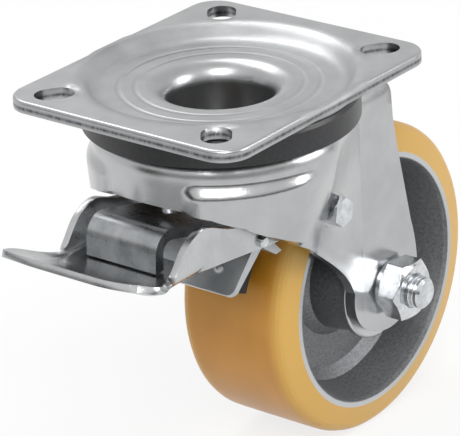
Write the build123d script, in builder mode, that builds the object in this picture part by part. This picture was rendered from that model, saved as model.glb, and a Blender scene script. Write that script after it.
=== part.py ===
from build123d import *
import math
import os

os.makedirs("parts", exist_ok=True)

# ---------------------------------------------------------------------------
# Driving dimensions, mm.  Origin: centre of the mounting plate's top face.
# +X is the trailing side (wheel), -X the pedal side, Y the axle, +Z up.
# ---------------------------------------------------------------------------
plate_len = 100.0
plate_wid = 85.0
plate_t = 3.6
plate_corner_r = 9.0
slot_spacing_x = 80.0
slot_spacing_y = 60.0
slot_w = 9.0
slot_len = 12.2

recess_top_r = 41.2
recess_floor_r = 37.4
recess_depth = 3.9
neck_bore_r = 16.0
neck_t = 2.9
lip_r = 6.0

crown_z = -14.0
fork_t = 3.6
cup_r = 39.0
leg_half = 26.0
crease_x = 34.0
fork_rear_x = 66.0

wheel_r = 50.0
tread_in_r = 41.2
wheel_half = 20.3
axle_x = 49.0
axle_z = -82.5
axle_r = 5.0
bearing_r = 13.0
bearing_w = 8.0
hub_half = 21.4

pivot_x = 14.0
pivot_z = -43.0
cheek_in = 20.7
cheek_t = 2.2
pedal_stroke = 9.0
running = 0.05

# Derived sizes
floor_z = -recess_depth
under_z = floor_z - plate_t
neck_r = neck_bore_r + neck_t
crown_under_z = crown_z - fork_t
leg_in = leg_half - fork_t
cheek_out = cheek_in + cheek_t

# Swivel balls run in grooves pressed to their own radius plus clearance
top_ball_r = 3.4
top_pitch_r = 30.0
top_ball_z = (under_z + crown_z) / 2
top_ball_n = 24
low_ball_r = 3.2
low_pitch_r = 24.9
low_ball_z = crown_under_z - low_ball_r + 0.25
low_ball_n = 20
race_top_z = low_ball_z - low_ball_r + 0.25
race_bottom_z = race_top_z - 4.6
race_out_r = 28.7


def torus_groove(pitch, radius, z):
    """Ball track: a torus of the ball radius plus the running clearance."""
    return Location((0, 0, z)) * Torus(pitch, radius + running, mode=Mode.PRIVATE)


# ---------------------------------------------------------------------------
# Mounting plate: flat flange, dished centre, drawn neck peened out at the foot
# ---------------------------------------------------------------------------
slope = math.atan2(recess_depth, recess_top_r - recess_floor_r)
half_angle = plate_t * math.tan(slope / 2)
under_top_r = recess_top_r + half_angle
under_floor_r = recess_floor_r + half_angle
flange_z = race_bottom_z - 2.6
upper_track = torus_groove(top_pitch_r, top_ball_r, top_ball_z)

with BuildPart() as top_plate:
    with BuildSketch(Plane.XY) as outline:
        RectangleRounded(plate_len, plate_wid, plate_corner_r)
        Circle(recess_top_r, mode=Mode.SUBTRACT)
    extrude(amount=-plate_t)
    rim = top_plate.faces().filter_by(Axis.Z).sort_by(Axis.Z)[-1].outer_wire().edges()
    fillet(rim, 1.0)
    with BuildSketch(Plane.XZ) as dish:
        with BuildLine():
            Polyline(
                (under_top_r + 0.3, -0.0), (recess_top_r, 0), (recess_floor_r, floor_z),
                (neck_bore_r + lip_r, floor_z),
            )
            RadiusArc((neck_bore_r + lip_r, floor_z), (neck_bore_r, floor_z - lip_r), -lip_r)
            Polyline(
                (neck_bore_r, floor_z - lip_r), (neck_bore_r, flange_z + 2.2),
                (neck_bore_r + 2.2, flange_z), (neck_r + 5.0, flange_z),
                (neck_r + 5.0, race_bottom_z), (neck_r, race_bottom_z),
                (neck_r, under_z - 3.0),
            )
            RadiusArc((neck_r, under_z - 3.0), (neck_r + 3.0, under_z), 3.0)
            Polyline(
                (neck_r + 3.0, under_z), (under_floor_r, under_z), (under_top_r, -plate_t),
                (under_top_r + 0.3, -plate_t), (under_top_r + 0.3, -0.0),
            )
        make_face()
    revolve(axis=Axis.Z)
    with BuildSketch(Plane.XY.offset(2)):
        RectangleRounded(plate_len, plate_wid, plate_corner_r)
    extrude(amount=-60, mode=Mode.INTERSECT)
    # Four slots, each lying along the line from its corner to the centre
    slot_angle = math.degrees(math.atan2(slot_spacing_y, slot_spacing_x))
    with BuildSketch(Plane.XY) as slots:
        for sx in (-1, 1):
            for sy in (-1, 1):
                with Locations(
                    Location((sx * slot_spacing_x / 2, sy * slot_spacing_y / 2, 0),
                             (0, 0, slot_angle * sx * sy))
                ):
                    SlotOverall(slot_len, slot_w)
    extrude(amount=-plate_t - 6, mode=Mode.SUBTRACT)
    add(upper_track, mode=Mode.SUBTRACT)

# Dust seal: black ring that closes the gap between the plate and the fork
with BuildPart() as seal_ring:
    with BuildSketch(Plane.XZ):
        with BuildLine():
            Polyline(
                (35.6, under_z), (under_floor_r, under_z),
                (under_floor_r + 2.4, under_z + 2.2), (under_floor_r + 3.0, under_z + 1.0),
                (under_floor_r + 3.0, crown_z + 0.4), (35.6, crown_z + 0.4),
                close=True,
            )
        make_face()
    revolve(axis=Axis.Z)

# Lower race: hardened ring clamped between the ball set and the peened neck
lower_track = torus_groove(low_pitch_r, low_ball_r, low_ball_z)
with BuildPart() as lower_race:
    with BuildSketch(Plane.XZ):
        with BuildLine():
            Polyline(
                (neck_r, race_bottom_z), (race_out_r - 1.0, race_bottom_z),
                (race_out_r, race_bottom_z + 1.0), (race_out_r, race_top_z),
                (neck_r, race_top_z), close=True,
            )
        make_face()
    revolve(axis=Axis.Z)
    add(lower_track, mode=Mode.SUBTRACT)


# Ball sets
with BuildPart() as upper_balls:
    with Locations((0, 0, top_ball_z)):
        with PolarLocations(top_pitch_r, top_ball_n):
            Sphere(top_ball_r)

with BuildPart() as lower_balls:
    with Locations((0, 0, low_ball_z)):
        with PolarLocations(low_pitch_r, low_ball_n):
            Sphere(low_ball_r)

# ---------------------------------------------------------------------------
# Fork: one pressing.  Round cup at the front, drawn sides that narrow towards
# the legs, a crease where the flat legs begin, open at the rear.
# ---------------------------------------------------------------------------
fork_sections = ((crown_z, 38.6), (-24.0, 37.8), (-45.0, 31.8), (-70.0, 28.0), (-100.0, 26.3))


def fork_section(z, side, inset, rear, lift):
    """Closed plan outline of the pressing at height z, inset by the sheet."""
    with BuildSketch(Plane.XY.offset(z - lift)) as section:
        with BuildLine():
            ThreePointArc((6, side - inset), (-cup_r + inset, 0), (6, -side + inset))
            Polyline(
                (6, -side + inset), (crease_x, -leg_half + inset), (rear, -leg_half + inset),
                (rear, leg_half - inset), (crease_x, leg_half - inset), (6, side - inset),
            )
        make_face()
    return section.sketch


# The hollow runs out past the legs, so the pressing is open at the rear
with BuildPart() as fork_hollow:
    for z_level, side_y in fork_sections:
        add(fork_section(z_level, side_y, fork_t, fork_rear_x + 14, fork_t))
    loft()
    hollow_top = fork_hollow.faces().sort_by(Axis.Z)[-1].edges()
    fillet(hollow_top.filter_by(lambda e: e.center().X < fork_rear_x + 13), 1.6)

with BuildPart() as fork:
    for z_level, side_y in fork_sections:
        add(fork_section(z_level, side_y, 0.0, fork_rear_x, 0.0))
    loft()
    shoulder = fork.faces().sort_by(Axis.Z)[-1].edges()
    fillet(shoulder.filter_by(lambda e: e.center().X < fork_rear_x - 1), 4.6)
    add(fork_hollow.part, mode=Mode.SUBTRACT)
    # Side profile: skirt edge rising to the front, legs rounded at the axle
    with BuildSketch(Plane.XZ) as profile:
        with BuildLine():
            Spline(
                (-46, -26.0), (-39, -28.0), (-31.5, -31.3), (-23.4, -36.0), (-11.2, -43.6),
                (-1.6, -49.5), (10.6, -58.2), (18.0, -64.1), (23.5, -69.4), (29.0, -78.0),
            )
            Spline((29.0, -78.0), (31.0, -88.5), (39.5, -95.0), (51.0, -96.5), (60.5, -91.0),
                   (63.0, -81.0), (60.1, -64.7))
            Polyline((60.1, -64.7), (53.9, -38.7), (51.6, -27.3), (50.2, -12), (-46, -12),
                     (-46, -26.0))
        make_face()
    extrude(amount=60, both=True, mode=Mode.INTERSECT)
    # Flat bosses under the pivot screw heads
    with BuildSketch(Plane.XZ.offset(30.8)):
        with Locations((pivot_x, pivot_z)):
            Circle(5.6)
    extrude(amount=-3.4)
    with BuildSketch(Plane.XZ.offset(-30.8)):
        with Locations((pivot_x, pivot_z)):
            Circle(5.6)
    extrude(amount=3.4)
    for face_y in (30.8, -30.8):
        with BuildSketch(Plane.XZ.offset(face_y)):
            with Locations((pivot_x, pivot_z)):
                Circle(5.6)
        extrude(amount=math.copysign(8, face_y), mode=Mode.SUBTRACT)
    with BuildSketch(Plane.XZ):
        with Locations((axle_x, axle_z)):
            Circle(axle_r + 0.1)
        with Locations((pivot_x, pivot_z)):
            Circle(2.5)
    extrude(amount=60, both=True, mode=Mode.SUBTRACT)
    with BuildSketch(Plane.XY):
        Circle(neck_r + 2.0)
    extrude(amount=-20, mode=Mode.SUBTRACT)
    add(upper_track, mode=Mode.SUBTRACT)
    add(lower_track, mode=Mode.SUBTRACT)

# ---------------------------------------------------------------------------
# Axle: hex bolt, nut, spacer tube between the bearings, two shouldered bushes
# ---------------------------------------------------------------------------
bearing_face = 20.4
nut_af = 17.0
nut_t = 8.0
washer_t = 0.6

with BuildPart() as axle_bolt:
    with BuildSketch(Plane.XZ.offset(-leg_half)):
        with Locations((axle_x, axle_z)):
            RegularPolygon(nut_af / 2, 6, major_radius=False)
    extrude(amount=-6.4)
    with BuildSketch(Plane.XZ.offset(-leg_half - 0.01)):
        with Locations((axle_x, axle_z)):
            Circle(axle_r)
    extrude(amount=2 * leg_half + nut_t + washer_t + 4.5)
    tip = axle_bolt.faces().sort_by(Axis.Y)[0].edges()
    chamfer(tip, 0.9)

with BuildPart() as axle_nut:
    with BuildSketch(Plane.XZ.offset(leg_half)):
        with Locations((axle_x, axle_z)):
            Circle(nut_af / 2 - 0.3)
            Circle(axle_r, mode=Mode.SUBTRACT)
    extrude(amount=washer_t)
    with BuildSketch(Plane.XZ.offset(leg_half + washer_t)):
        with Locations((axle_x, axle_z)):
            RegularPolygon(nut_af / 2, 6, major_radius=False)
            Circle(axle_r, mode=Mode.SUBTRACT)
    extrude(amount=nut_t)
    # Corners turned off at 30 degrees on the outer face
    nut_face = leg_half + washer_t + nut_t
    with BuildSketch(Plane.YZ.offset(axle_x)):
        with BuildLine():
            Polyline(
                (-leg_half, axle_z), (-nut_face, axle_z), (-nut_face, axle_z + nut_af / 2 - 0.3),
                (-nut_face + 1.0, axle_z + nut_af / 2 + 1.5), (-leg_half, axle_z + nut_af / 2 + 1.5),
                close=True,
            )
        make_face()
    revolve(axis=Axis((axle_x, 0, axle_z), (0, 1, 0)), mode=Mode.INTERSECT)

with BuildPart() as axle_sleeves:
    inner_gap = 2 * (bearing_face - bearing_w)
    for start, length in ((-leg_in, leg_in - bearing_face), (-inner_gap / 2, inner_gap),
                          (bearing_face, leg_in - bearing_face)):
        with BuildSketch(Plane.XZ.offset(start)):
            with Locations((axle_x, axle_z)):
                Circle(7.0)
                Circle(axle_r, mode=Mode.SUBTRACT)
        extrude(amount=length)


# ---------------------------------------------------------------------------
# Wheel: die-cast centre, bonded tread, two ball bearings
# ---------------------------------------------------------------------------
def wheel_solid(points):
    """Turned body about the axle from a (radius, y) profile."""
    with BuildPart() as body:
        with BuildSketch(Plane.YZ.offset(axle_x)):
            with BuildLine():
                Polyline(*[(y, axle_z + r) for r, y in points], close=True)
            make_face()
        revolve(axis=Axis((axle_x, 0, axle_z), (0, 1, 0)))
    return body.part


hub_r = 17.2
web_half = 4.6
rim_in_r = 36.2
centre_profile = [
    (bearing_r, hub_half), (hub_r + 0.6, hub_half), (hub_r + 1.2, hub_half - 0.6),
    (hub_r + 1.2, hub_half - 2.4), (hub_r, hub_half - 3.2), (hub_r + 1.2, web_half + 3.0),
    (hub_r + 4.2, web_half), (rim_in_r - 4.0, web_half), (rim_in_r - 0.8, web_half + 3.2),
    (rim_in_r + 2.6, wheel_half - 1.2), (rim_in_r + 3.1, wheel_half), (tread_in_r, wheel_half),
]
centre_points = centre_profile + [(r, -y) for r, y in reversed(centre_profile)]
centre_points += [(bearing_r, -(bearing_face - bearing_w)), (bearing_r - 1.6, -(bearing_face - bearing_w)),
                  (bearing_r - 1.6, bearing_face - bearing_w), (bearing_r, bearing_face - bearing_w)]

with BuildPart() as wheel_centre:
    add(wheel_solid(centre_points))

tread_profile = [
    (tread_in_r, wheel_half), (wheel_r - 2.6, 18.9), (wheel_r - 1.5, 18.3), (wheel_r - 0.6, 17.3),
    (wheel_r - 0.1, 15.8), (wheel_r, 13.5),
]
with BuildPart() as tread:
    add(wheel_solid(tread_profile + [(r, -y) for r, y in reversed(tread_profile)]))

ball_pitch = 9.0
ball_r = 2.38


def both_sides(r_in, r_out, y_in, y_out, groove):
    """Bearing ring pair: the same turned ring on both sides of the wheel."""
    rings = []
    for side in (-1, 1):
        profile = [(r_in, side * y_in), (r_out, side * y_in), (r_out, side * y_out), (r_in, side * y_out)]
        ring = wheel_solid(profile)
        if groove:
            centre = Location((axle_x, side * (bearing_face - bearing_w / 2), axle_z), (90, 0, 0))
            ring = ring - centre * Torus(ball_pitch, ball_r + 0.04, mode=Mode.PRIVATE)
        rings.append(ring)
    return rings


with BuildPart() as bearing_outer_rings:
    for ring in both_sides(10.7, bearing_r, bearing_face - bearing_w, bearing_face, True):
        add(ring)

with BuildPart() as bearing_inner_rings:
    for ring in both_sides(axle_r, 7.3, bearing_face - bearing_w, bearing_face, True):
        add(ring)

with BuildPart() as bearing_balls:
    for side in (-1, 1):
        for k in range(8):
            angle = math.radians(45 * k)
            with Locations((axle_x + ball_pitch * math.cos(angle), side * (bearing_face - bearing_w / 2),
                            axle_z + ball_pitch * math.sin(angle))):
                Sphere(ball_r)

with BuildPart() as bearing_shields:
    for ring in both_sides(7.6, 10.7, bearing_face - 1.0, bearing_face - 0.5, False):
        add(ring)

# ---------------------------------------------------------------------------
# Foot brake: pedal tray with two cheeks, shoe bracket, pad, cross pin, strap
# ---------------------------------------------------------------------------
tray_w = 29.4
pin_x = -12.0
pin_z = -45.0
pin_r = 2.0

with BuildPart() as brake_pedal:
    # Cheeks: from the rounded nose back to the pivot eye
    with BuildSketch(Plane.XZ) as cheek_shape:
        with BuildLine():
            Spline((-53.4, -45.2), (-53.8, -37.6), (-50.0, -31.0), (-42.5, -28.6),
                   tangents=((-0.1, 1), (1, 0.12)))
            Polyline((-42.5, -28.6), (-36.0, -31.6), (-31.8, -33.2), (-26.0, -36.0),
                     (-6.0, -39.0), (pivot_x, pivot_z + 5.6))
            ThreePointArc((pivot_x, pivot_z + 5.6), (pivot_x + 5.6, pivot_z), (pivot_x, pivot_z - 5.6))
            Polyline((pivot_x, pivot_z - 5.6), (pin_x, pin_z - 3.2), (-37.0, -45.6),
                     (-53.4, -45.6), (-53.4, -45.2))
        make_face()
    extrude(amount=cheek_out, both=True)
    with BuildSketch(Plane.XZ):
        with Locations((-18, -36)):
            Rectangle(90, 60)
    extrude(amount=cheek_in, both=True, mode=Mode.SUBTRACT)
    # Tray floor and forward lip, turned up slightly to the tip
    with BuildSketch(Plane.XZ) as tray_section:
        with BuildLine():
            Spline((-38.0, -46.6), (-51.0, -46.6), (-60.0, -45.4), (-67.6, -42.2))
            Polyline((-67.6, -42.2), (-66.8, -40.0))
            Spline((-66.8, -40.0), (-59.6, -43.1), (-50.8, -44.4), (-38.0, -44.4))
            Polyline((-38.0, -44.4), (-38.0, -46.6))
        make_face()
    extrude(amount=tray_w, both=True)
    # Plan outline trims the tray: full width at the lip, cheek width behind
    with BuildSketch(Plane.XY.offset(-60)) as plan:
        with BuildLine():
            Spline((-67.8, 0), (-67.2, 18.0), (-65.0, tray_w - 2.6), (-62.6, tray_w - 0.3),
                   (-60.2, tray_w - 2.8), (-55.0, cheek_out + 1.5), (-49.0, cheek_out))
            Polyline((-49.0, cheek_out), (30, cheek_out), (30, -cheek_out), (-49.0, -cheek_out))
            Spline((-49.0, -cheek_out), (-55.0, -cheek_out - 1.5), (-60.2, -tray_w + 2.8),
                   (-62.6, -tray_w + 0.3), (-65.0, -tray_w + 2.6), (-67.2, -18.0), (-67.8, 0))
        make_face()
    extrude(amount=40, mode=Mode.INTERSECT)
    # Lip rolled outwards along the front edge of each cheek
    for side in (-1, 1):
        with BuildSketch(Plane.XZ.offset(-side * (cheek_out + 1.8))):
            with BuildLine():
                Spline((-54.6, -45.0), (-55.0, -37.2), (-50.8, -30.0), (-42.5, -27.4),
                       tangents=((-0.1, 1), (1, 0.12)))
                Polyline((-42.5, -27.4), (-42.5, -29.8))
                Spline((-42.5, -29.8), (-49.0, -32.2), (-52.4, -38.0), (-52.0, -45.2),
                       tangents=((-1, -0.12), (0.1, -1)))
                Polyline((-52.0, -45.2), (-54.6, -45.0))
            make_face()
        extrude(amount=side * 2.6)
    with BuildSketch(Plane.XZ):
        with Locations((pivot_x, pivot_z)):
            Circle(2.5 + running)
        with Locations((pin_x, pin_z)):
            Circle(pin_r)
    extrude(amount=40, both=True, mode=Mode.SUBTRACT)

boss_face = 30.8
wall_in_at_pivot = 26.6
with BuildPart() as pivot_screws:
    for side in (-1, 1):
        with BuildSketch(Plane.XZ.offset(-side * boss_face)):
            with Locations((pivot_x, pivot_z)):
                RegularPolygon(4.1, 6, major_radius=False, rotation=20)
        extrude(amount=-side * 3.5)
        with BuildSketch(Plane.XZ.offset(-side * (boss_face + 0.01))):
            with Locations((pivot_x, pivot_z)):
                Circle(2.5)
        extrude(amount=side * (boss_face - cheek_in + 0.01))

with BuildPart() as pivot_bushes:
    for side in (-1, 1):
        with BuildSketch(Plane.XZ.offset(-side * cheek_out)):
            with Locations((pivot_x, pivot_z)):
                Circle(4.4)
                Circle(2.5 + running, mode=Mode.SUBTRACT)
        extrude(amount=-side * (wall_in_at_pivot - 1.6 - cheek_out))

with BuildPart() as cross_pin:
    with BuildSketch(Plane.XZ.offset(-cheek_out - 1.6)):
        with Locations((pin_x, pin_z)):
            Circle(pin_r)
    extrude(amount=2 * cheek_out + 3.2)
    ends = cross_pin.faces().filter_by(Axis.Y).edges()
    fillet(ends, 0.7)

# The pad is drawn as it sits pressed on the tread, then swung back by the stroke
swing = math.radians(pedal_stroke)
rel_x = axle_x - pivot_x
rel_z = axle_z - pivot_z
pad_cx = pivot_x + rel_x * math.cos(swing) + rel_z * math.sin(swing)
pad_cz = pivot_z - rel_x * math.sin(swing) + rel_z * math.cos(swing)
pad_face_r = wheel_r + 0.35
pad_t = 4.0


def polar(r, degrees):
    """Point on a circle about the pad centre, in side view."""
    a = math.radians(degrees)
    return (pad_cx + r * math.cos(a), pad_cz + r * math.sin(a))


def arc_band(r0, r1, a0, a1):
    """Closed side-view band between two radii and two angles."""
    mid = (a0 + a1) / 2
    ThreePointArc(polar(r0, a0), polar(r0, mid), polar(r0, a1))
    Line(polar(r0, a1), polar(r1, a1))
    ThreePointArc(polar(r1, a1), polar(r1, mid), polar(r1, a0))
    Line(polar(r1, a0), polar(r0, a0))


pad_a0, pad_a1 = 141.0, 158.0
shoe_t = 2.0
with BuildPart() as brake_pad:
    with BuildSketch(Plane.XZ):
        with BuildLine():
            arc_band(pad_face_r, pad_face_r + pad_t, pad_a0, pad_a1)
        make_face()
    extrude(amount=10, both=True)

back_r = pad_face_r + pad_t
fold_low = polar(back_r, pad_a0)
web_low = (-24.7, -58.9)
web_high = (pin_x - 0.6, pin_z - 1.6)
web_mid = (web_low[0] * 0.58 + web_high[0] * 0.42, web_low[1] * 0.58 + web_high[1] * 0.42)
web_normal = (web_low[1] - web_high[1], 0, web_high[0] - web_low[0])
web_dimple_y = 12.5
dimple_r = 1.7
with BuildPart() as shoe_plate:
    # Curved backing that carries the pad
    with BuildSketch(Plane.XZ):
        with BuildLine():
            arc_band(back_r, back_r + shoe_t, pad_a0, pad_a1)
        make_face()
    extrude(amount=10, both=True)
    # Upper web up to the pin, and the sloping front plate below it
    top_out = polar(back_r + shoe_t, pad_a0 + 2)
    top_in = polar(back_r + 0.01, pad_a0)
    with BuildSketch(Plane.XZ):
        with BuildLine():
            Polyline(top_in, top_out, (pin_x + 2.6, pin_z - 3.8), (web_low[0] + 1.5, web_low[1] - 1.3),
                     web_low, web_high, (pin_x + 4.0, pin_z + 0.4), close=True)
        make_face()
    extrude(amount=cheek_in, both=True)
    with BuildSketch(Plane.XZ):
        with Locations((pin_x, pin_z)):
            Circle(pin_r)
    extrude(amount=30, both=True, mode=Mode.SUBTRACT)
    with BuildSketch(Plane.XZ):
        with Locations((pin_x, pin_z)):
            Circle(5.4)
    extrude(amount=13.5, both=True, mode=Mode.SUBTRACT)
    corner_edges = shoe_plate.edges().filter_by(
        lambda e: e.length < 2.6 and abs(abs(e.center().Y) - cheek_in) < 0.01
        and e.center().Z < web_low[1] + 1.5
    )
    fillet(corner_edges, 2.4)
    # Two dimples pressed out of the web, hollow behind
    for y in (-web_dimple_y, web_dimple_y):
        with Locations(Plane(origin=(web_mid[0], y, web_mid[1]), z_dir=web_normal)):
            Sphere(dimple_r, arc_size1=0, align=(Align.CENTER, Align.CENTER, Align.MIN))
        with Locations(Plane(origin=(web_mid[0], y, web_mid[1]), z_dir=web_normal).offset(-3)):
            Cylinder(dimple_r - 0.9, 3.4, align=(Align.CENTER, Align.CENTER, Align.MIN),
                     mode=Mode.SUBTRACT)

strap_half = 13.0
strap_t = 3.4
with BuildPart() as release_strap:
    with BuildSketch(Plane.XZ):
        with BuildLine():
            Polyline((-49.6, -43.8), (-49.2, -38.0))
            ThreePointArc((-49.2, -38.0), (-46.6, -33.6), (-42.0, -32.2))
            Polyline((-42.0, -32.2), (pin_x + 3.4, pin_z + 4.4))
            ThreePointArc((pin_x + 3.4, pin_z + 4.4), (pin_x + 4.6, pin_z - 0.6), (pin_x + 0.4, pin_z - 3.2))
            ThreePointArc((pin_x + 0.4, pin_z - 3.2), (pin_x - 3.4, pin_z - 1.6), (pin_x - 3.6, pin_z + 1.0))
            Polyline((pin_x - 3.6, pin_z + 1.0), (-21.0, -40.9), (-41.6, -35.8))
            ThreePointArc((-41.6, -35.8), (-44.4, -36.4), (-45.8, -39.0))
            Polyline((-45.8, -39.0), (-46.0, -43.8), (-49.6, -43.8))
        make_face()
    extrude(amount=strap_half, both=True)
    with BuildSketch(Plane.XZ):
        with Locations((pin_x, pin_z)):
            Circle(pin_r + running)
    extrude(amount=30, both=True, mode=Mode.SUBTRACT)

# Buffer stud under the front skirt, fixed in the cup wall
with BuildPart() as buffer_stud:
    with BuildSketch(Plane.XY.offset(crown_under_z)):
        with Locations((-31.2, -4.2)):
            Circle(2.4)
    extrude(amount=-15.4)
    stud_foot = buffer_stud.faces().sort_by(Axis.Z)[0].edges()
    fillet(stud_foot, 0.7)

nodes = {
    "top_plate": top_plate, "seal_ring": seal_ring, "lower_race": lower_race,
    "upper_balls": upper_balls, "lower_balls": lower_balls, "fork": fork,
    "axle_bolt": axle_bolt, "axle_nut": axle_nut, "axle_sleeves": axle_sleeves,
    "wheel_centre": wheel_centre, "tread": tread, "bearing_outer_rings": bearing_outer_rings,
    "bearing_inner_rings": bearing_inner_rings, "bearing_balls": bearing_balls,
    "bearing_shields": bearing_shields, "brake_pedal": brake_pedal, "pivot_screws": pivot_screws,
    "pivot_bushes": pivot_bushes, "cross_pin": cross_pin, "brake_pad": brake_pad,
    "shoe_plate": shoe_plate, "release_strap": release_strap, "buffer_stud": buffer_stud,
}
for name, builder in nodes.items():
    builder.part.label = name
    export_step(builder.part, "parts/" + name + ".step")
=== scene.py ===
import math

import bmesh
import bpy
from mathutils import Matrix, Vector
from mathutils.bvhtree import BVHTree


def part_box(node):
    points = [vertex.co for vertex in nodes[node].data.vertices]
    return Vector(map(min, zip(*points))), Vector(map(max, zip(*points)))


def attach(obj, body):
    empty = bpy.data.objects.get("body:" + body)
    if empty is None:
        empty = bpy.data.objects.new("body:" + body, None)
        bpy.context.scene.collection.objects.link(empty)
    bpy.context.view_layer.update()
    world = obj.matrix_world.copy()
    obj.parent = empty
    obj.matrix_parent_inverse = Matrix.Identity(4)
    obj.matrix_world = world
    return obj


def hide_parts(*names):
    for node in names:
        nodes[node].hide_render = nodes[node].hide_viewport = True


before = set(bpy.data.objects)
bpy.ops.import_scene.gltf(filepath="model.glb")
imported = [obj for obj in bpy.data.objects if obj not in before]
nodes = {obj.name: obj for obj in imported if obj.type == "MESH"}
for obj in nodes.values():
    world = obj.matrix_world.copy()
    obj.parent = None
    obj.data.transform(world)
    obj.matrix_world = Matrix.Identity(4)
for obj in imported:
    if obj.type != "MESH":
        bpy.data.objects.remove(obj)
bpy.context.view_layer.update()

# ---------------------------------------------------------------------------
# Mounting plate.  Thick steel sheet, sheared to outline, dished in the middle and drawn down into
# a neck.  Bright zinc plating over pickled sheet: bluish and softly mottled.  The plate is dull on
# the flat and brighter where the punch has stretched it; here only the mottling varies its gloss.
# ---------------------------------------------------------------------------


def linear(hex_colour):
    """sRGB hex to the linear colour that the shader takes."""
    out = []
    for k in (1, 3, 5):
        c = int(hex_colour[k:k + 2], 16) / 255
        out.append(c / 12.92 if c <= 0.04045 else ((c + 0.055) / 1.055) ** 2.4)
    return (*out, 1.0)


def add(tree, kind, settings=(), **links):
    """One node with its settings, and its inputs linked or set by name."""
    made = tree.nodes.new(kind)
    for key, value in dict(settings).items():
        setattr(made, key, value)
    for name, value in links.items():
        by_place = name[1:].isdigit()
        socket = made.inputs[int(name[1:]) if by_place else name.replace("_", " ")]
        if isinstance(value, bpy.types.NodeSocket):
            tree.links.new(value, socket)
        else:
            socket.default_value = value
    return made


def blank(name):
    """An empty node material, its shader and its Object coordinates."""
    material = bpy.data.materials.new(name)
    material.use_nodes = True
    tree = material.node_tree
    shader = tree.nodes["Principled BSDF"]
    place = add(tree, "ShaderNodeTexCoord").outputs["Object"]
    return material, tree, shader, place


def ramp(tree, source, low, high, dark, light):
    """Colour from dark to light as the source goes from low to high."""
    made = add(tree, "ShaderNodeValToRGB", i0=source)
    made.color_ramp.elements[0].position = low
    made.color_ramp.elements[1].position = high
    made.color_ramp.elements[0].color = dark
    made.color_ramp.elements[1].color = light
    return made.outputs["Color"]


def grey(value):
    """A neutral colour, as the shader takes it."""
    return (value, value, value, 1.0)


def zinc(name, dark, light, dull, glossy, spangle=0.006, grit=0.0004, relief=0.00003):
    """Zinc-plated steel: cloudy patches, spangle metres across, over the sheet's fine grain."""
    material, tree, shader, place = blank(name)
    cloud = add(tree, "ShaderNodeTexNoise", i0=place, Scale=1 / spangle, Detail=4.0, Roughness=0.6)
    grain = add(tree, "ShaderNodeTexNoise", i0=place, Scale=1 / grit, Detail=2.0)
    colour = ramp(tree, cloud.outputs["Fac"], 0.35, 0.65, linear(dark), linear(light))
    rough = ramp(tree, cloud.outputs["Fac"], 0.3, 0.7, grey(glossy), grey(dull))
    bump = add(tree, "ShaderNodeBump", Strength=0.35, Distance=relief, Height=grain.outputs["Fac"])
    shader.inputs["Metallic"].default_value = 1.0
    tree.links.new(colour, shader.inputs["Base Color"])
    tree.links.new(rough, shader.inputs["Roughness"])
    tree.links.new(bump.outputs["Normal"], shader.inputs["Normal"])
    return material, tree, shader, place, bump


def paint(node, material):
    """A CAD node takes one finish in all its slots."""
    mesh = nodes[node].data
    mesh.materials.clear()
    mesh.materials.append(material)


def axis_distance(tree, place, centre, drop):
    """Distance from an axis through centre, with the coordinate called drop left out."""
    keep = [1.0, 1.0, 1.0]
    keep[drop] = 0.0
    moved = add(tree, "ShaderNodeVectorMath", {"operation": "SUBTRACT"}, i0=place, i1=centre)
    flat = add(tree, "ShaderNodeVectorMath", {"operation": "MULTIPLY"},
               i0=moved.outputs[0], i1=tuple(keep))
    length = add(tree, "ShaderNodeVectorMath", {"operation": "LENGTH"}, i0=flat.outputs[0])
    return length.outputs["Value"]


plate_zinc, tree, shader, place, grain_bump = zinc(
    "plate_bright_zinc", "#a9aaab", "#b3b4b5", 0.34, 0.29, spangle=0.014, relief=0.00005)
# The punch leaves two faint rings round the neck, 30 and 25 mm from the axis
ring_radii, ring_half_width, ring_relief_height = (0.0302, 0.0252), 0.0013, 0.0003
radius = axis_distance(tree, place, (0.0, 0.0, 0.0), 2)
ring_relief = None
for ring_r in ring_radii:
    off = add(tree, "ShaderNodeMath", {"operation": "SUBTRACT"}, i0=radius, i1=ring_r)
    away = add(tree, "ShaderNodeMath", {"operation": "ABSOLUTE"}, i0=off.outputs[0])
    dip = add(tree, "ShaderNodeMapRange", {"interpolation_type": "SMOOTHSTEP"},
              i0=away.outputs[0], i1=0.0, i2=ring_half_width, i3=0.0, i4=1.0)
    ring_relief = dip.outputs[0] if ring_relief is None else add(
        tree, "ShaderNodeMath", {"operation": "MULTIPLY"},
        i0=ring_relief, i1=dip.outputs[0]).outputs[0]
# The dish is drawn, so its upper bend is wide and soft
bend_r, bend_softness, bend_inner, bend_outer = 0.0393, 0.006, 0.004, 0.0075
soft_bend = add(tree, "ShaderNodeBevel", {"samples": 8},
                Radius=bend_softness, Normal=grain_bump.outputs["Normal"])
from_bend = add(tree, "ShaderNodeMath", {"operation": "SUBTRACT"}, i0=radius, i1=bend_r)
from_bend = add(tree, "ShaderNodeMath", {"operation": "ABSOLUTE"}, i0=from_bend.outputs[0])
at_bend = add(tree, "ShaderNodeMapRange", {"interpolation_type": "SMOOTHSTEP"},
              i0=from_bend.outputs[0], i1=bend_inner, i2=bend_outer, i3=1.0, i4=0.0)
dish_normal = add(tree, "ShaderNodeMix", {"data_type": "VECTOR"}, i0=at_bend.outputs[0],
                  i4=grain_bump.outputs["Normal"], i5=soft_bend.outputs[0])
rings = add(tree, "ShaderNodeBump", Strength=0.55, Distance=ring_relief_height,
            Height=ring_relief, Normal=dish_normal.outputs[1])
tree.links.new(rings.outputs["Normal"], shader.inputs["Normal"])
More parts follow.
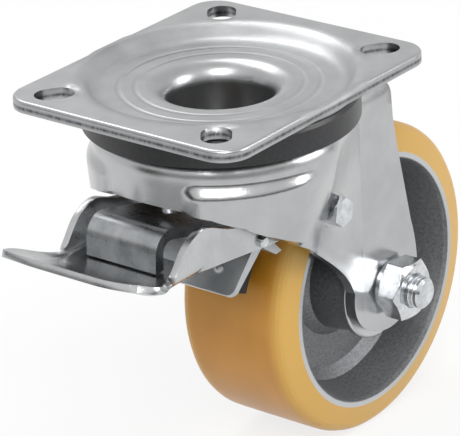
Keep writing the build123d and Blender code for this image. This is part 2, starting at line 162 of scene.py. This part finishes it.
# The shear leaves a torn, darker band along the middle of the plate's edge
band_foot, band_head, steepest, dish_outside_r = -0.0031, -0.0013, 0.35, 0.0415
tear_size, band_gain = 0.0007, 3.4
height_z = add(tree, "ShaderNodeSeparateXYZ", i0=place).outputs["Z"]
depth = add(tree, "ShaderNodeMapRange", i0=height_z,
            i1=band_foot, i2=band_head, i3=0.0, i4=1.0)
band = add(tree, "ShaderNodeMath", {"operation": "PINGPONG"}, i0=depth.outputs[0], i1=0.5)
facing = add(tree, "ShaderNodeNewGeometry").outputs["Normal"]
upright = add(tree, "ShaderNodeSeparateXYZ", i0=facing).outputs["Z"]
upright = add(tree, "ShaderNodeMath", {"operation": "ABSOLUTE"}, i0=upright).outputs[0]
sheared = add(tree, "ShaderNodeMath", {"operation": "LESS_THAN"},
              i0=upright, i1=steepest).outputs[0]
edge_only = add(tree, "ShaderNodeMath", {"operation": "GREATER_THAN"},
                i0=radius, i1=dish_outside_r).outputs[0]
torn_place = add(tree, "ShaderNodeMapping", i0=place, Scale=(1.0, 1.0, 0.2))
torn = add(tree, "ShaderNodeTexNoise", i0=torn_place.outputs[0], Scale=1 / tear_size, Detail=3.0)
amount = sheared
for part in (edge_only, band.outputs[0], torn.outputs["Fac"]):
    amount = add(tree, "ShaderNodeMath", {"operation": "MULTIPLY"}, i0=amount, i1=part).outputs[0]
amount = add(tree, "ShaderNodeMath", {"operation": "MULTIPLY", "use_clamp": True},
             i0=amount, i1=band_gain).outputs[0]
plain = shader.inputs["Base Color"].links[0].from_socket
edge_colour = add(tree, "ShaderNodeMix", {"data_type": "RGBA"},
                  i0=amount, i6=plain, i7=linear("#4c4f52"))
tree.links.new(edge_colour.outputs[2], shader.inputs["Base Color"])
paint("top_plate", plate_zinc)

# ---------------------------------------------------------------------------
# Dust seal.  Black moulded ring that fills the gap between plate and fork and keeps grit off the
# balls.  Satin polypropylene, as it leaves the mould.
# ---------------------------------------------------------------------------
seal_black, tree, shader, place = blank("moulded_black_seal")
seal_pebble_size = 0.0012
skin = add(tree, "ShaderNodeTexNoise", i0=place, Scale=1 / seal_pebble_size, Detail=3.0)
colour = ramp(tree, skin.outputs["Fac"], 0.3, 0.7, linear("#17181a"), linear("#232427"))
bump = add(tree, "ShaderNodeBump", Strength=0.2, Distance=0.00003, Height=skin.outputs["Fac"])
tree.links.new(colour, shader.inputs["Base Color"])
tree.links.new(bump.outputs["Normal"], shader.inputs["Normal"])
shader.inputs["Roughness"].default_value = 0.38
paint("seal_ring", seal_black)

# ---------------------------------------------------------------------------
# Ball races and balls of the swivel head.  Hardened steel, ground, with a film of grease that
# keeps them darker than the plated pressings.
# ---------------------------------------------------------------------------
race_steel, *_ = zinc("ground_race_steel", "#6d7073", "#888b8e", 0.30, 0.20, spangle=0.004)
# Balls are polished, so they mirror more sharply than the races that they run in
ball_steel, *_ = zinc("polished_ball_steel", "#9b9ea1", "#b4b7ba", 0.14, 0.08,
                      spangle=0.004, relief=0.00001)
paint("lower_race", race_steel)
for ball_set in ("upper_balls", "lower_balls", "bearing_balls"):
    paint(ball_set, ball_steel)

# ---------------------------------------------------------------------------
# Fork.  One deep-drawn pressing, zinc plated after drawing.  The stretched sides come out
# smoother and brighter than the plate, with faint long draw marks.
# ---------------------------------------------------------------------------
drawn_finish = dict(dark="#b0b1b2", light="#babbbc", dull=0.23, glossy=0.18,
                    spangle=0.016, grit=0.0005, relief=0.00007)
mark_width, mark_stretch = 0.0016, 0.12
fork_zinc, tree, shader, place, grain_bump = zinc("drawn_bright_zinc", **drawn_finish)
long_marks = add(tree, "ShaderNodeMapping", i0=place, Scale=(1.0, 1.0, mark_stretch))
marks = add(tree, "ShaderNodeTexNoise", i0=long_marks.outputs[0], Scale=1 / mark_width, Detail=3.0)
drawn = add(tree, "ShaderNodeBump", Strength=0.15, Distance=0.00003, Height=marks.outputs["Fac"],
            Normal=grain_bump.outputs["Normal"])
# The draw leaves a wide soft shoulder round the crown
crown_softness, crown_foot, crown_head = 0.0055, -0.024, -0.020
soft_edge = add(tree, "ShaderNodeBevel", {"samples": 8},
                Radius=crown_softness, Normal=drawn.outputs["Normal"])
fork_place = add(tree, "ShaderNodeSeparateXYZ", i0=place)
near_crown = add(tree, "ShaderNodeMapRange", {"interpolation_type": "SMOOTHSTEP"},
                 i0=fork_place.outputs["Z"], i1=crown_foot, i2=crown_head, i3=0.0, i4=1.0)
rounded = add(tree, "ShaderNodeMix", {"data_type": "VECTOR"}, i0=near_crown.outputs[0],
              i4=drawn.outputs["Normal"], i5=soft_edge.outputs[0])
tree.links.new(rounded.outputs[1], shader.inputs["Normal"])
paint("fork", fork_zinc)

# Each side of the pressing stands out of the cup by a soft step.  It is a skin laid on the fork's
# own surface, found by rays towards the swivel axis, and it runs out under that surface.
side_zinc, *_ = zinc("drawn_side_zinc", **drawn_finish)
step_out, sunk, skin_depth = 0.0022, 0.0001, 0.0007
step_top, step_foot, skin_top = -0.0190, -0.0255, -0.0180
step_start, step_full, skin_end = math.radians(17), math.radians(29), math.radians(106)
fade_from_x, fade_to_x = -0.016, 0.009
columns, step_rows, lower_rows = 60, 16, 12
ray_from, ray_reach = 0.06, 0.035
skirt_low, skirt_high, skirt_halvings, skirt_margin = -0.062, -0.0268, 14, 0.0002
fork_surface = BVHTree.FromPolygons([v.co.copy() for v in nodes["fork"].data.vertices],
                                    [tuple(p.vertices) for p in nodes["fork"].data.polygons])


def ease(value, low, high):
    """From 0 at low to 1 at high, level at both ends and without a crease."""
    part = min(1.0, max(0.0, (value - low) / (high - low)))
    return part * part * part * (part * (part * 6 - 15) + 10)


def on_fork(bearing, side, z):
    """Where a level ray towards the swivel axis first meets the fork, or None under its skirt."""
    outward = Vector((-math.cos(bearing), side * math.sin(bearing), 0.0))
    start = outward * ray_from + Vector((0.0, 0.0, z))
    spot, *_ = fork_surface.ray_cast(start, -outward, ray_reach)
    return (spot, outward) if spot else None


def skirt_height(bearing, side):
    """The lowest height at which such a ray still meets the fork, by halving."""
    low, high = skirt_low, skirt_high
    for _ in range(skirt_halvings):
        middle = (low + high) / 2
        if on_fork(bearing, side, middle):
            high = middle
        else:
            low = middle
    return high + skirt_margin


def metal_piece(name, verts, faces, material, sharp=None, merge=None):
    """Smooth-shaded mesh with its faces turned outwards.  Bends over sharp degrees stay crisp."""
    mesh = bpy.data.meshes.new(name)
    mesh.from_pydata(verts, [], faces)
    work = bmesh.new()
    work.from_mesh(mesh)
    if merge is not None:
        bmesh.ops.remove_doubles(work, verts=work.verts, dist=merge)
        loose = [v for v in work.verts if not v.link_faces]
        bmesh.ops.delete(work, geom=loose, context="VERTS")
    bmesh.ops.recalc_face_normals(work, faces=work.faces)
    work.to_mesh(mesh)
    work.free()
    for face in mesh.polygons:
        face.use_smooth = True
    if sharp is not None:
        mesh.set_sharp_from_angle(angle=math.radians(sharp))
    mesh.materials.append(material)
    made = bpy.data.objects.new(name, mesh)
    bpy.context.scene.collection.objects.link(made)
    return made


for side, label in ((1, "head"), (-1, "nut")):
    outer, inner = [], []
    for c in range(columns + 1):
        bearing = step_start + (skin_end - step_start) * c / columns
        skirt = skirt_height(bearing, side)
        levels = [skin_top + (step_foot - skin_top) * r / step_rows for r in range(step_rows)]
        levels += [step_foot + (skirt - step_foot) * r / lower_rows for r in range(lower_rows + 1)]
        for z in levels:
            spot, outward = on_fork(bearing, side, z)
            rise = step_out * (1 - ease(z, step_foot, step_top))
            rise *= ease(bearing, step_start, step_full)
            rise *= 1 - ease(spot.x, fade_from_x, fade_to_x)
            outer.append(spot + outward * (rise - sunk))
            inner.append(spot - outward * skin_depth)
    rows, under = step_rows + lower_rows + 1, len(outer)
    faces = []
    for c in range(columns):
        for r in range(rows - 1):
            corner = c * rows + r
            quad = (corner, corner + 1, corner + rows + 1, corner + rows)
            faces.append(quad)
            faces.append(tuple(k + under for k in reversed(quad)))
    # The rim closes outer to inner all the way round: down, along the skirt, up and back
    border = list(range(rows)) + [c * rows + rows - 1 for c in range(1, columns + 1)]
    border += [columns * rows + r for r in range(rows - 2, -1, -1)]
    border += [c * rows for c in range(columns - 1, 0, -1)]
    for here, after in zip(border, border[1:] + border[:1]):
        faces.append((after, here, here + under, after + under))
    step_piece = metal_piece("side_step_" + label, outer + inner, faces, side_zinc, sharp=40)
    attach(step_piece, "fork_body")

# The stud under the front skirt is plated dull, so it looks whiter than the pressings
stud_zinc, *_ = zinc("stud_zinc", "#d6d7d8", "#e6e7e8", 0.46, 0.36)
paint("buffer_stud", stud_zinc)

# ---------------------------------------------------------------------------
# Wheel bearings.  Two deep-groove ball bearings sat in the hub.  Their rings are ground steel, and
# the thin pressed shields and the sleeves that space them are plain steel, greyer than the zinc.
# ---------------------------------------------------------------------------
for piece in ("bearing_outer_rings", "bearing_inner_rings"):
    paint(piece, race_steel)
shield_steel, *_ = zinc("pressed_shield_steel", "#7d8083", "#95989b", 0.38, 0.28, spangle=0.003)
paint("bearing_shields", shield_steel)
paint("axle_sleeves", shield_steel)

# ---------------------------------------------------------------------------
# Wheel centre.  Die-cast aluminium, left as cast on the web and hub with a dark, pebbled skin.
# The rim's outer ring and the hub's end are turned bright.
# ---------------------------------------------------------------------------
axle = (0.049, 0.0, -0.0825)
pebble_size, lathe_pitch = 0.0009, 0.0004
turned_rim_r, rim_face_y, hub_face_y = 0.0396, 0.0189, 0.0209
cast, tree, shader, place = blank("cast_aluminium")
pebble = add(tree, "ShaderNodeTexNoise", i0=place, Scale=1 / pebble_size,
             Detail=4.0, Roughness=0.7)
cast_colour = ramp(tree, pebble.outputs["Fac"], 0.3, 0.7, linear("#727476"), linear("#98999b"))
wheel_radius = axis_distance(tree, place, axle, 1)
across = add(tree, "ShaderNodeSeparateXYZ", i0=place).outputs["Y"]
across = add(tree, "ShaderNodeMath", {"operation": "ABSOLUTE"}, i0=across).outputs[0]
on_rim = add(tree, "ShaderNodeMath", {"operation": "GREATER_THAN"},
             i0=wheel_radius, i1=turned_rim_r)
on_face = add(tree, "ShaderNodeMath", {"operation": "GREATER_THAN"}, i0=across, i1=rim_face_y)
on_hub = add(tree, "ShaderNodeMath", {"operation": "GREATER_THAN"}, i0=across, i1=hub_face_y)
turned_rim = add(tree, "ShaderNodeMath", {"operation": "MULTIPLY"},
                 i0=on_rim.outputs[0], i1=on_face.outputs[0])
turned = add(tree, "ShaderNodeMath", {"operation": "MAXIMUM"},
             i0=turned_rim.outputs[0], i1=on_hub.outputs[0])
lathe_phase = add(tree, "ShaderNodeMath", {"operation": "MULTIPLY"},
                  i0=wheel_radius, i1=2 * math.pi / lathe_pitch)
lathe = add(tree, "ShaderNodeMath", {"operation": "SINE"}, i0=lathe_phase.outputs[0])
colour = add(tree, "ShaderNodeMix", {"data_type": "RGBA"},
             i0=turned.outputs[0], i6=cast_colour, i7=linear("#c2c4c6"))
rough = add(tree, "ShaderNodeMix", {"data_type": "FLOAT"}, i0=turned.outputs[0], i2=0.55, i3=0.3)
height = add(tree, "ShaderNodeMix", {"data_type": "FLOAT"}, i0=turned.outputs[0],
             i2=pebble.outputs["Fac"], i3=lathe.outputs[0])
bump = add(tree, "ShaderNodeBump", Strength=0.4, Distance=0.00008, Height=height.outputs[0])
shader.inputs["Metallic"].default_value = 1.0
tree.links.new(colour.outputs[2], shader.inputs["Base Color"])
tree.links.new(rough.outputs[0], shader.inputs["Roughness"])
tree.links.new(bump.outputs["Normal"], shader.inputs["Normal"])
paint("wheel_centre", cast)

# ---------------------------------------------------------------------------
# Tread.  Amber polyurethane cast round the centre, smooth from the mould and a little see-through.
# Its colour is painted paler towards both sides than over the face: a painted sheen.
# ---------------------------------------------------------------------------
haze_size, pale_from_y, pale_to_y = 0.018, 0.0135, 0.0195
amber, tree, shader, place = blank("cast_amber_polyurethane")
haze = add(tree, "ShaderNodeTexNoise", i0=place, Scale=1 / haze_size, Detail=3.0)
body_colour = ramp(tree, haze.outputs["Fac"], 0.3, 0.7, linear("#ab741f"), linear("#b67f29"))
across = add(tree, "ShaderNodeSeparateXYZ", i0=place).outputs["Y"]
across = add(tree, "ShaderNodeMath", {"operation": "ABSOLUTE"}, i0=across).outputs[0]
# Painted sheen: towards both sides of the tread the colour turns paler, up to #c2994a.
edge = add(tree, "ShaderNodeMapRange", {"interpolation_type": "SMOOTHSTEP"},
           i0=across, i1=pale_from_y, i2=pale_to_y, i3=0.0, i4=1.0)
colour = add(tree, "ShaderNodeMix", {"data_type": "RGBA"}, i0=edge.outputs[0],
             i6=body_colour, i7=linear("#c2994a"))
tree.links.new(colour.outputs[2], shader.inputs["Base Color"])
shader.inputs["Roughness"].default_value = 0.33
shader.inputs["IOR"].default_value = 1.49
shader.inputs["Subsurface Weight"].default_value = 0.08
shader.inputs["Subsurface Radius"].default_value = (0.004, 0.002, 0.0006)
shader.inputs["Subsurface Scale"].default_value = 1.0
paint("tread", amber)

# ---------------------------------------------------------------------------
# Axle bolt and nut.  M10 steel, bright zinc.  The thread shows only where the bolt stands out of
# the nut, as a rolled ridge of 1.5 mm pitch.
# ---------------------------------------------------------------------------
bolt_zinc, *_ = zinc("fastener_zinc", "#bcbfc2", "#dcdee0", 0.26, 0.16, spangle=0.004)
for piece in ("axle_bolt", "pivot_screws", "cross_pin", "pivot_bushes"):
    paint(piece, bolt_zinc)

# Hexagon nut in millimetres, 30 degree chamfer on both ends and a bearing face on the inner one
nut_flat, nut_bore, nut_washer_r, corner_turn = 8.9, 5.05, 8.2, 57.0
washer_in, nut_in, nut_out, chamfer_r = 26.0, 26.6, 34.6, 8.1
mouth_r, mouth_depth = 5.7, 0.6
slant = math.tan(math.radians(60))
depths = (0.0, 0.2, 0.4, 0.6, 0.8, 1.0, 1.2)
stations = [(washer_in, nut_washer_r, False), (nut_in, nut_washer_r, False)]
stations += [(nut_in + d, chamfer_r + d * slant, True) for d in depths]
stations += [(nut_out - d, chamfer_r + d * slant, True) for d in reversed(depths)]
stations += [(nut_out, mouth_r, False), (nut_out - mouth_depth, nut_bore, False),
             (washer_in, nut_bore, False)]
nut_turns = 96
nut_verts, nut_faces = [], []
for reach, limit, hexagon in stations:
    for k in range(nut_turns):
        angle = 2 * math.pi * k / nut_turns
        from_flat = (angle - math.radians(corner_turn)) % (math.pi / 3) - math.pi / 6
        radius = min(limit, nut_flat / math.cos(from_flat)) if hexagon else limit
        nut_verts.append((axle[0] + radius * math.cos(angle) / 1000, -reach / 1000,
                          axle[2] + radius * math.sin(angle) / 1000))
for r in range(len(stations)):
    low, high = r * nut_turns, (r + 1) % len(stations) * nut_turns
    for k in range(nut_turns):
        after = (k + 1) % nut_turns
        nut_faces.append((low + k, low + after, high + after, high + k))
chamfered_nut = metal_piece("chamfered_nut", nut_verts, nut_faces, bolt_zinc, sharp=18)
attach(chamfered_nut, "fork_body")
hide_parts("axle_nut")

thread_pitch, thread_r, ridge_sunk, ridge_r, plain_tip = 0.0015, 0.0050, 0.0003, 0.00048, 0.0012
nut_face_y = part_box("axle_nut")[0][1]
tip_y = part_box("axle_bolt")[0][1]
thread_len = nut_face_y - tip_y - plain_tip

thread_tree = bpy.data.node_groups.new("rolled_thread", "GeometryNodeTree")
for label, kind in (("Radius", "NodeSocketFloat"), ("Length", "NodeSocketFloat"),
                    ("Pitch", "NodeSocketFloat"), ("Ridge", "NodeSocketFloat")):
    thread_tree.interface.new_socket(label, in_out="INPUT", socket_type=kind)
thread_tree.interface.new_socket("Geometry", in_out="OUTPUT", socket_type="NodeSocketGeometry")
given = add(thread_tree, "NodeGroupInput")
turns = add(thread_tree, "ShaderNodeMath", {"operation": "DIVIDE"},
            i0=given.outputs["Length"], i1=given.outputs["Pitch"])
spiral = add(thread_tree, "GeometryNodeCurveSpiral", Resolution=48, Rotations=turns.outputs[0],
             Height=given.outputs["Length"])
thread_tree.links.new(given.outputs["Radius"], spiral.inputs["Start Radius"])
thread_tree.links.new(given.outputs["Radius"], spiral.inputs["End Radius"])
ridge = add(thread_tree, "GeometryNodeCurvePrimitiveCircle",
            Resolution=8, Radius=given.outputs["Ridge"])
swept = add(thread_tree, "GeometryNodeCurveToMesh", Curve=spiral.outputs[0])
thread_tree.links.new(ridge.outputs["Curve"], swept.inputs["Profile Curve"])
swept.inputs["Fill Caps"].default_value = True
real = add(thread_tree, "GeometryNodeRealizeInstances", i0=swept.outputs[0])
finish = add(thread_tree, "GeometryNodeSetMaterial", Geometry=real.outputs[0], Material=bolt_zinc)
out = add(thread_tree, "NodeGroupOutput")
thread_tree.links.new(finish.outputs[0], out.inputs[0])


def baked(name, group, values):
    """Runs a Geometry Nodes group once and returns its result as a plain mesh object."""
    holder = bpy.data.objects.new(name + "_maker", bpy.data.meshes.new(name + "_maker"))
    bpy.context.scene.collection.objects.link(holder)
    modifier = holder.modifiers.new("make", "NODES")
    modifier.node_group = group
    for item in group.interface.items_tree:
        if item.in_out == "INPUT" and item.name in values:
            modifier[item.identifier] = values[item.name]
    bpy.context.view_layer.update()
    evaluated = holder.evaluated_get(bpy.context.evaluated_depsgraph_get())
    mesh = bpy.data.meshes.new_from_object(evaluated)
    made = bpy.data.objects.new(name, mesh)
    bpy.context.scene.collection.objects.link(made)
    bpy.data.objects.remove(holder)
    return made


thread = baked("axle_thread", thread_tree, {
    "Radius": thread_r - ridge_sunk, "Length": thread_len, "Pitch": thread_pitch, "Ridge": ridge_r})
along_bolt = Matrix.Rotation(math.pi / 2, 4, "X")
thread.data.transform(Matrix.Translation((axle[0], nut_face_y, axle[2])) @ along_bolt)
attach(thread, "fork_body")

# ---------------------------------------------------------------------------
# Foot brake.  Pedal, strap and shoe plate are pressed from sheet and zinc plated.  The pad behind
# the shoe plate is dark moulded rubber.
# ---------------------------------------------------------------------------
# The pedal is the brightest of the three, the strap is darker and the shoe plate duller
pedal_zinc, *_ = zinc("pedal_zinc", "#b4b6b7", "#c3c4c5", 0.30, 0.22, spangle=0.012, relief=0.00005)
strap_zinc, *_ = zinc("strap_zinc", "#9a9da0", "#b4b6b8", 0.34, 0.24, spangle=0.006)
shoe_zinc, *_ = zinc("shoe_zinc", "#b0b3b5", "#bfc1c3", 0.46, 0.36, spangle=0.008)

# The pedal is one sheet.  Each row below is a section across it, in millimetres: x, the height of
# the floor, then the height of the free edge, the half width of the flat, the fold's radius and
# angle and the half width, first for the long lip's side and then for the short one.
sheet_mm = 2.2
tray_rows = (
    (-67.5, -41.0, (-40.6, 18.0, 5.0, 2, 30.4), (-40.9, 16.5, 4.0, 2, 19.0)),
    (-66.0, -41.8, (-41.0, 18.0, 5.0, 4, 30.3), (-41.6, 17.5, 4.0, 4, 21.0)),
    (-64.0, -42.75, (-41.4, 18.2, 5.0, 7, 30.0), (-42.2, 18.0, 4.0, 8, 22.3)),
    (-61.0, -43.95, (-42.5, 18.8, 5.0, 9, 28.6), (-42.8, 18.0, 4.0, 15, 22.7)),
    (-58.0, -44.8, (-43.6, 19.0, 5.0, 12, 25.0), (-43.2, 18.2, 4.0, 25, 22.6)),
    (-56.0, -45.1, (-43.9, 18.8, 4.5, 18, 23.1), (-42.9, 18.0, 4.0, 38, 22.2)),
    (-54.3, -45.3, (-44.0, 18.3, 3.8, 32, 21.4), (-42.9, 17.8, 3.8, 55, 21.4)),
    (-52.6, -45.4, (-43.5, 17.6, 3.3, 60, 20.6), (-42.7, 17.5, 3.4, 75, 20.8)),
    (-51.0, -45.5, (-42.2, 17.2, 3.2, 86, 20.4), (-42.1, 17.2, 3.2, 88, 20.5)),
    (-49.6, -45.5, (-40.6, 17.2, 3.2, 90, 20.4), (-40.4, 17.2, 3.2, 90, 20.4)),
    (-48.0, -45.5, (-38.3, 17.2, 3.2, 90, 20.4), (-38.3, 17.2, 3.2, 90, 20.4)),
    (-46.0, -45.5, (-35.9, 17.2, 3.2, 90, 20.4), (-35.9, 17.2, 3.2, 90, 20.4)),
    (-44.0, -45.5, (-34.3, 17.2, 3.2, 90, 20.4), (-34.3, 17.2, 3.2, 90, 20.4)),
    (-41.5, -45.5, (-33.0, 17.2, 3.2, 90, 20.4), (-33.0, 17.2, 3.2, 90, 20.4)),
    (-38.5, -45.5, (-32.2, 17.2, 3.2, 90, 20.4), (-32.2, 17.2, 3.2, 90, 20.4)),
)
# Behind the floor only the two cheeks run on: x, lower edge, upper edge, half width
cheek_rows = (
    (-36.0, -45.3, -32.0, 20.5), (-31.8, -45.5, -33.6, 20.9), (-26.0, -45.8, -36.3, 21.5),
    (-18.0, -46.6, -37.6, 21.8), (-10.0, -47.8, -38.6, 21.8), (-4.0, -48.2, -39.2, 21.8),
    (4.0, -48.4, -38.5, 21.8), (10.0, -48.5, -37.8, 21.8), (14.0, -48.6, -37.4, 21.8),
    (16.4, -48.1, -37.9, 21.8), (18.2, -46.8, -39.2, 21.8), (19.3, -44.9, -41.1, 21.8),
)
flat_steps, fold_steps, wall_steps = 5, 5, 7
corner_back, straight_y, corner_run, fade_x, fade_run = 4.6, 5.0, 18.0, -57.0, 10.5


def half_section(floor, edge, flat, radius, angle, width):
    """Points (y, z) from the middle of the tray to the free edge of one side."""
    turn = math.radians(angle)
    points = [(flat * k / flat_steps, floor) for k in range(flat_steps)]
    for k in range(fold_steps + 1):
        part = turn * k / fold_steps
        points.append((flat + radius * math.sin(part), floor + radius * (1 - math.cos(part))))
    last_y, last_z = points[-1]
    for k in range(1, wall_steps + 1):
        part = k / wall_steps
        points.append((last_y + (width - last_y) * part, last_z + (edge - last_z) * part))
    return points


pedal_verts, pedal_faces = [], []
per_side = flat_steps + fold_steps + wall_steps + 1
for side, pick in ((1, 2), (-1, 3)):
    first = len(pedal_verts)
    for row in tray_rows:
        for y, z in half_section(row[1], *row[pick]):
            # The short side's front edge runs back towards its corner
            cut = side < 0 and y >= straight_y
            back = corner_back * ((y - straight_y) / corner_run) ** 2 if cut else 0.0
            fade = min(1.0, max(0.0, (fade_x - row[0]) / fade_run))
            pedal_verts.append((row[0] + back * fade, side * y, z))
    for x, low, high, width in cheek_rows:
        for k in range(per_side):
            part = max(0, k - flat_steps) / (fold_steps + wall_steps)
            pedal_verts.append((x, side * width, low + (high - low) * part))
    for r in range(len(tray_rows) + len(cheek_rows) - 1):
        for k in range(0 if r < len(tray_rows) - 1 else flat_steps, per_side - 1):
            a = first + r * per_side + k
            pedal_faces.append((a, a + 1, a + per_side + 1, a + per_side))

pressed_pedal = metal_piece("pressed_pedal", [[c / 1000 for c in v] for v in pedal_verts],
                            pedal_faces, pedal_zinc, merge=0.00002)
smooth = pressed_pedal.modifiers.new("drawn", "SUBSURF")
smooth.levels = smooth.render_levels = 2
wall = pressed_pedal.modifiers.new("sheet", "SOLIDIFY")
wall.thickness = sheet_mm / 1000
wall.offset = 0.0
wall.use_even_offset = True
edges = pressed_pedal.modifiers.new("sheared_edges", "BEVEL")
edges.width = 0.0004
edges.segments = 2
edges.angle_limit = math.radians(50)
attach(pressed_pedal, "pedal_body")
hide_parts("brake_pedal")
paint("release_strap", strap_zinc)
paint("shoe_plate", shoe_zinc)

# Dark matt rubber, with the mould's coarse grain on it
rubber_grain = 0.001
pad_rubber, tree, shader, place = blank("moulded_pad_rubber")
skin = add(tree, "ShaderNodeTexNoise", i0=place, Scale=1 / rubber_grain, Detail=3.0)
colour = ramp(tree, skin.outputs["Fac"], 0.3, 0.7, linear("#1d1d1e"), linear("#2c2c2e"))
bump = add(tree, "ShaderNodeBump", Strength=0.4, Distance=0.00008, Height=skin.outputs["Fac"])
tree.links.new(colour, shader.inputs["Base Color"])
tree.links.new(bump.outputs["Normal"], shader.inputs["Normal"])
shader.inputs["Roughness"].default_value = 0.7
paint("brake_pad", pad_rubber)

# ---------------------------------------------------------------------------
# Studio.  Pale floor under the wheel, soft lamps, and grey cards that give the plating something
# to mirror.
# ---------------------------------------------------------------------------


def pale(name, shade, seen):
    """Matt paper.  The camera and mirrored rays see it partly as its own light."""
    material = bpy.data.materials.new(name)
    material.use_nodes = True
    tree = material.node_tree
    tree.nodes.remove(tree.nodes["Principled BSDF"])
    matt = add(tree, "ShaderNodeBsdfDiffuse", Color=grey(shade))
    glow = add(tree, "ShaderNodeEmission", Color=grey(1.0), Strength=1.0)
    rays = add(tree, "ShaderNodeLightPath")
    either = add(tree, "ShaderNodeMath", {"operation": "MAXIMUM"},
                 i0=rays.outputs["Is Camera Ray"], i1=rays.outputs["Is Glossy Ray"])
    either = add(tree, "ShaderNodeMath", {"operation": "MAXIMUM"},
                 i0=either.outputs[0], i1=rays.outputs["Is Transmission Ray"])
    share = add(tree, "ShaderNodeMath", {"operation": "MULTIPLY"}, i0=either.outputs[0], i1=seen)
    both = add(tree, "ShaderNodeMixShader",
               i0=share.outputs[0], i1=matt.outputs[0], i2=glow.outputs[0])
    tree.links.new(both.outputs[0], tree.nodes["Material Output"].inputs["Surface"])
    return material


def card(name, centre, size, facing, material):
    """A flat sheet of the studio, square to the direction it faces."""
    half_w, half_h = size[0] / 2, size[1] / 2
    mesh = bpy.data.meshes.new(name)
    corners = [(-half_w, -half_h, 0), (half_w, -half_h, 0),
               (half_w, half_h, 0), (-half_w, half_h, 0)]
    mesh.from_pydata(corners, [], [(0, 1, 2, 3)])
    turn = Vector(facing).to_track_quat("Z", "Y").to_matrix().to_4x4()
    mesh.transform(Matrix.Translation(centre) @ turn)
    mesh.materials.append(material)
    made = bpy.data.objects.new(name, mesh)
    bpy.context.scene.collection.objects.link(made)
    return made


floor_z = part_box("tread")[0][2]
card("floor", (0.0, 0.0, floor_z), (8.0, 8.0), (0, 0, 1), pale("floor_paper", 0.8, 0.8))

grey_card, _, shader, _ = blank("grey_card")
shader.inputs["Base Color"].default_value = grey(0.05)
shader.inputs["Roughness"].default_value = 1.0
floor_card = pale("mid_grey_card", 0.32, 0.0)
for label, centre, size, facing, finish in (
    ("card_left", (-0.75, 0.35, 0.05), (0.35, 0.35), (1, -0.4, 0), grey_card),
    ("card_right", (0.75, -0.55, -0.05), (0.10, 0.5), (-0.8, 0.6, 0), grey_card),
    ("card_low", (-0.265, 0.05, floor_z + 0.001), (0.17, 0.20), (0, 0, 1), floor_card),
):
    placed = card(label, centre, size, facing, finish)
    placed.visible_camera = False
    placed.visible_shadow = False
    placed.visible_diffuse = False

world = bpy.data.worlds.new("studio")
bpy.context.scene.world = world
world.use_nodes = True
tree = world.node_tree
rays = add(tree, "ShaderNodeLightPath")
sky = tree.nodes["Background"]
sky.inputs["Color"].default_value = grey(0.62)
white = add(tree, "ShaderNodeBackground", Color=grey(1.0), Strength=1.0)
direction = add(tree, "ShaderNodeTexCoord").outputs["Generated"]
rise = add(tree, "ShaderNodeSeparateXYZ", i0=direction).outputs["Z"]
overhead = add(tree, "ShaderNodeValToRGB", i0=rise)
overhead.color_ramp.elements[0].position = 0.0
overhead.color_ramp.elements[0].color = grey(0.10)
overhead.color_ramp.elements[1].position = 0.92
overhead.color_ramp.elements[1].color = grey(0.95)
for stop, value in ((0.15, 0.14), (0.27, 0.72), (0.4, 0.93), (0.7, 0.95)):
    overhead.color_ramp.elements.new(stop).color = grey(value)
# Only the front of the studio is dark at eye level
front_side = (-0.78, -0.62, 0.0)
ahead = add(tree, "ShaderNodeVectorMath", {"operation": "DOT_PRODUCT"}, i0=direction, i1=front_side)
to_front = add(tree, "ShaderNodeMapRange", {"interpolation_type": "SMOOTHSTEP"},
               i0=ahead.outputs["Value"], i1=0.0, i2=0.45, i3=0.0, i4=1.0)
walls = add(tree, "ShaderNodeMix", {"data_type": "RGBA"}, i0=to_front.outputs[0],
            i6=grey(0.86), i7=overhead.outputs["Color"])
mirror = add(tree, "ShaderNodeBackground", Color=walls.outputs[2], Strength=1.0)
first = add(tree, "ShaderNodeMixShader", i0=rays.outputs["Is Glossy Ray"],
            i1=sky.outputs[0], i2=mirror.outputs[0])
second = add(tree, "ShaderNodeMixShader", i0=rays.outputs["Is Camera Ray"],
             i1=first.outputs[0], i2=white.outputs[0])
tree.links.new(second.outputs[0], tree.nodes["World Output"].inputs["Surface"])

lamps_aim = Vector((0.02, 0.0, -0.06))
for label, centre, size, watts in (
    ("lamp_front_left", (-0.75, -0.55, 0.85), 0.6, 9.0),
    ("lamp_right", (0.55, -0.95, 0.45), 0.5, 5.0),
    ("lamp_top_back", (0.25, 0.65, 0.95), 0.7, 5.0),
):
    data = bpy.data.lights.new(label, "AREA")
    data.shape = "SQUARE"
    data.size = size
    data.energy = watts
    lamp = bpy.data.objects.new(label, data)
    aim = (lamps_aim - Vector(centre)).to_track_quat("-Z", "Y")
    lamp.matrix_world = Matrix.Translation(centre) @ aim.to_matrix().to_4x4()
    bpy.context.scene.collection.objects.link(lamp)

# Camera on the pedal side, a little above the plate.  Its axes and place are in the frame's metres.
view_right = Vector((0.6099, -0.7914, -0.0411))
view_down = Vector((-0.3415, -0.2157, -0.9148))
view_ahead = Vector((0.7151, 0.5720, -0.4018))
camera_place = Vector((-0.69645, -0.55808, 0.34592))
image_w, image_h = 460, 436
focal_px, sensor_mm = 3229.61, 36.0
centre_x, centre_y = 228.12, 211.98
data = bpy.data.cameras.new("camera")
data.sensor_fit = "HORIZONTAL"
data.sensor_width = sensor_mm
data.lens = focal_px * sensor_mm / image_w
data.shift_x = (image_w / 2 - centre_x) / image_w
data.shift_y = (centre_y - image_h / 2) / image_w
camera = bpy.data.objects.new("camera", data)
turn = Matrix((view_right, -view_down, -view_ahead)).transposed().to_4x4()
camera.matrix_world = Matrix.Translation(camera_place) @ turn
bpy.context.scene.collection.objects.link(camera)
bpy.context.scene.camera = camera
bpy.context.scene.view_settings.view_transform = "Standard"
